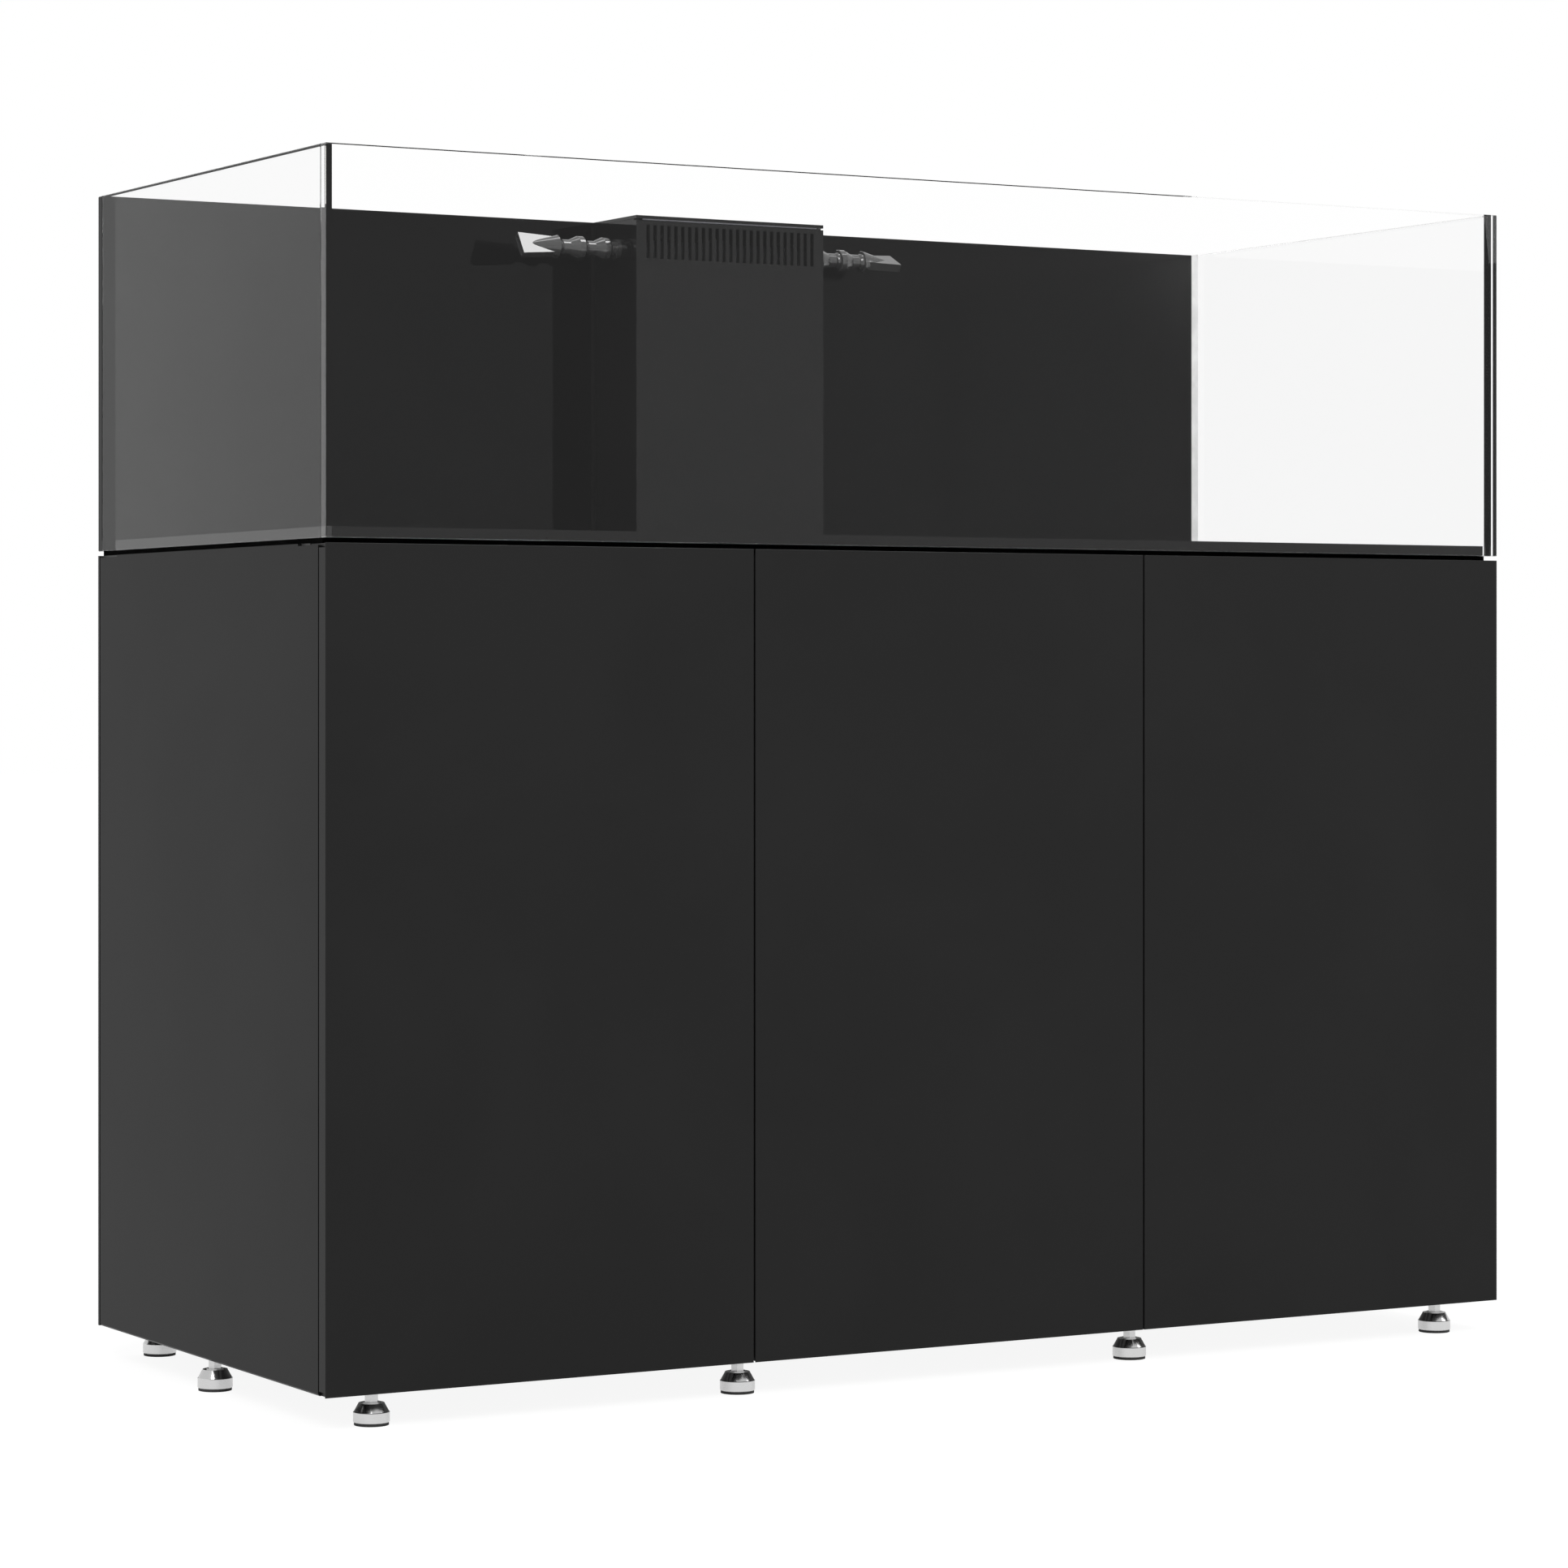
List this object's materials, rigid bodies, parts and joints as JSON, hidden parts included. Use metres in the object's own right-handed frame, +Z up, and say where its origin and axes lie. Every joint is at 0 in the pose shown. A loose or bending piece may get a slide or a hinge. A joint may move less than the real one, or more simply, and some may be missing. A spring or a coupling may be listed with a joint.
{
  "type": "aquarium on stand",
  "caption": "Clear glass aquarium with a rear overflow and jointed return nozzles, on a dark cabinet with doors that holds a sump, pump and pipes and stands on screw feet.",
  "frame": {"origin": "on the floor, under the middle of the object", "axes": "+X to the right along the front, +Y to the back, +Z up"},
  "size_m": [1.5, 0.62, 1.308],
  "materials": {
    "black_glass": "black-painted polished glass",
    "board": "dark laminated board",
    "clear_glass": "clear polished glass",
    "door_lacquer": "dark grey matt lacquer on board",
    "foot_metal": "polished and brushed metal on a rubber pad",
    "frame_aluminium": "black anodised slotted profile",
    "handle_plastic": "red moulded plastic",
    "hinge_steel": "plated steel",
    "hose_plastic": "moulded black plastic",
    "magnet_plating": "nickel-plated",
    "mat_foam": "black foam mat",
    "overflow_plastic": "polished black acrylic",
    "pipe_plastic": "grey pressure pipe",
    "pump_plastic": "black moulded plastic",
    "rear_panel": "dark grey matt composite sheet",
    "side_panel": "dark grey matt composite sheet",
    "silicone": "black silicone",
    "sump_glass": "clear polished glass",
    "valve_plastic": "dark grey moulded plastic"
  },
  "bodies": {
    "tank_and_cabinet": {"back_pane": "black_glass", "back_panel": "rear_panel", "bottom_pane": "clear_glass", "bulkhead_nuts": "pipe_plastic", "bulkheads": "pipe_plastic", "cross_rails": "frame_aluminium", "door_magnets": "magnet_plating", "drain_pipes": "pipe_plastic", "drain_valve_body": "valve_plastic", "floor_deck": "board", "frame_posts": "frame_aluminium", "front_pane": "clear_glass", "hinge_arms": "hinge_steel", "hinge_pins": "hinge_steel", "left_pane": "clear_glass", "left_side_panel": "side_panel", "levelling_mat": "mat_foam", "long_rails": "frame_aluminium", "nozzle_bases": "hose_plastic", "overflow_left_wall": "overflow_plastic", "overflow_right_wall": "overflow_plastic", "overflow_weir": "overflow_plastic", "pipe_elbows": "pipe_plastic", "return_pipe": "pipe_plastic", "return_pump": "pump_plastic", "return_riser": "pipe_plastic", "return_valve_body": "valve_plastic", "right_pane": "clear_glass", "right_side_panel": "side_panel", "side_rails": "frame_aluminium", "silicone_seams": "silicone", "standpipes": "pipe_plastic", "sump_baffles": "sump_glass", "sump_panes": "sump_glass", "top_panel": "board"},
    "left_door": {"left_door": "door_lacquer", "left_strike": "magnet_plating"},
    "centre_door": {"centre_door": "door_lacquer", "centre_strike": "magnet_plating"},
    "right_door": {"right_door": "door_lacquer", "right_strike": "magnet_plating"},
    "overflow_lid": {"overflow_lid": "overflow_plastic"},
    "return_valve_lever": {"return_valve_lever": "handle_plastic"},
    "drain_valve_wheel": {"drain_valve_wheel": "handle_plastic"},
    "left_link_1": {"left_link_1": "hose_plastic"},
    "left_link_2": {"left_link_2": "hose_plastic"},
    "left_flare": {"left_flare": "hose_plastic"},
    "right_link_1": {"right_link_1": "hose_plastic"},
    "right_link_2": {"right_link_2": "hose_plastic"},
    "right_flare": {"right_flare": "hose_plastic"},
    "back_foot_far_left": {"back_foot_far_left": "foot_metal"},
    "back_foot_far_right": {"back_foot_far_right": "foot_metal"},
    "back_foot_mid_left": {"back_foot_mid_left": "foot_metal"},
    "back_foot_mid_right": {"back_foot_mid_right": "foot_metal"},
    "front_foot_far_left": {"front_foot_far_left": "foot_metal"},
    "front_foot_far_right": {"front_foot_far_right": "foot_metal"},
    "front_foot_mid_left": {"front_foot_mid_left": "foot_metal"},
    "front_foot_mid_right": {"front_foot_mid_right": "foot_metal"},
    "side_foot_left": {"side_foot_left": "foot_metal"},
    "side_foot_right": {"side_foot_right": "foot_metal"}
  },
  "joints": [
    {"name": "left_door_hinge", "type": "hinge", "parent": "tank_and_cabinet", "child": "left_door", "pos_m": [-0.744, -0.305, 0.4695], "axis": [0, 0, -1], "range_deg": [0, 90]},
    {"name": "centre_door_hinge", "type": "hinge", "parent": "tank_and_cabinet", "child": "centre_door", "pos_m": [-0.24327, -0.305, 0.4695], "axis": [0, 0, -1], "range_deg": [0, 90]},
    {"name": "right_door_hinge", "type": "hinge", "parent": "tank_and_cabinet", "child": "right_door", "pos_m": [0.744, -0.305, 0.4695], "axis": [0, 0, 1], "range_deg": [0, 90]},
    {"name": "overflow_lid_lift", "type": "slide", "parent": "tank_and_cabinet", "child": "overflow_lid", "axis": [0, 0, 1], "range_m": [0, 0.06]},
    {"name": "right_link_1_bend", "type": "hinge", "parent": "tank_and_cabinet", "child": "right_link_1", "pos_m": [0.145, 0.238, 1.271], "axis": [0, 0, -1], "range_deg": [-8, 20]},
    {"name": "right_link_2_bend", "type": "hinge", "parent": "right_link_1", "child": "right_link_2", "pos_m": [0.178, 0.238, 1.271], "axis": [0, 0, -1], "range_deg": [-8, 20]},
    {"name": "right_flare_bend", "type": "hinge", "parent": "right_link_2", "child": "right_flare", "pos_m": [0.211, 0.238, 1.271], "axis": [0, 0, -1], "range_deg": [-8, 20]},
    {"name": "left_link_1_bend", "type": "hinge", "parent": "tank_and_cabinet", "child": "left_link_1", "pos_m": [-0.145, 0.238, 1.271], "axis": [0, 0, 1], "range_deg": [-8, 20]},
    {"name": "left_link_2_bend", "type": "hinge", "parent": "left_link_1", "child": "left_link_2", "pos_m": [-0.178, 0.238, 1.271], "axis": [0, 0, 1], "range_deg": [-8, 20]},
    {"name": "left_flare_bend", "type": "hinge", "parent": "left_link_2", "child": "left_flare", "pos_m": [-0.211, 0.238, 1.271], "axis": [0, 0, 1], "range_deg": [-8, 20]},
    {"name": "return_valve_turn", "type": "hinge", "parent": "tank_and_cabinet", "child": "return_valve_lever", "pos_m": [-0.545, 0.0567, 0.542], "axis": [0, 1, 0], "range_deg": [0, 90]},
    {"name": "drain_valve_turn", "type": "hinge", "parent": "tank_and_cabinet", "child": "drain_valve_wheel", "pos_m": [-0.075, 0.1937, 0.572], "axis": [0, -1, 0], "continuous": true},
    {"name": "back_foot_far_left_screw", "type": "slide", "parent": "tank_and_cabinet", "child": "back_foot_far_left", "axis": [0, 0, -1], "range_m": [0, 0.012]},
    {"name": "back_foot_far_right_screw", "type": "slide", "parent": "tank_and_cabinet", "child": "back_foot_far_right", "axis": [0, 0, -1], "range_m": [0, 0.012]},
    {"name": "back_foot_mid_left_screw", "type": "slide", "parent": "tank_and_cabinet", "child": "back_foot_mid_left", "axis": [0, 0, -1], "range_m": [0, 0.012]},
    {"name": "back_foot_mid_right_screw", "type": "slide", "parent": "tank_and_cabinet", "child": "back_foot_mid_right", "axis": [0, 0, -1], "range_m": [0, 0.012]},
    {"name": "front_foot_far_left_screw", "type": "slide", "parent": "tank_and_cabinet", "child": "front_foot_far_left", "axis": [0, 0, -1], "range_m": [0, 0.012]},
    {"name": "front_foot_far_right_screw", "type": "slide", "parent": "tank_and_cabinet", "child": "front_foot_far_right", "axis": [0, 0, -1], "range_m": [0, 0.012]},
    {"name": "front_foot_mid_left_screw", "type": "slide", "parent": "tank_and_cabinet", "child": "front_foot_mid_left", "axis": [0, 0, -1], "range_m": [0, 0.012]},
    {"name": "front_foot_mid_right_screw", "type": "slide", "parent": "tank_and_cabinet", "child": "front_foot_mid_right", "axis": [0, 0, -1], "range_m": [0, 0.012]},
    {"name": "side_foot_left_screw", "type": "slide", "parent": "tank_and_cabinet", "child": "side_foot_left", "axis": [0, 0, -1], "range_m": [0, 0.012]},
    {"name": "side_foot_right_screw", "type": "slide", "parent": "tank_and_cabinet", "child": "side_foot_right", "axis": [0, 0, -1], "range_m": [0, 0.012]}
  ]
}
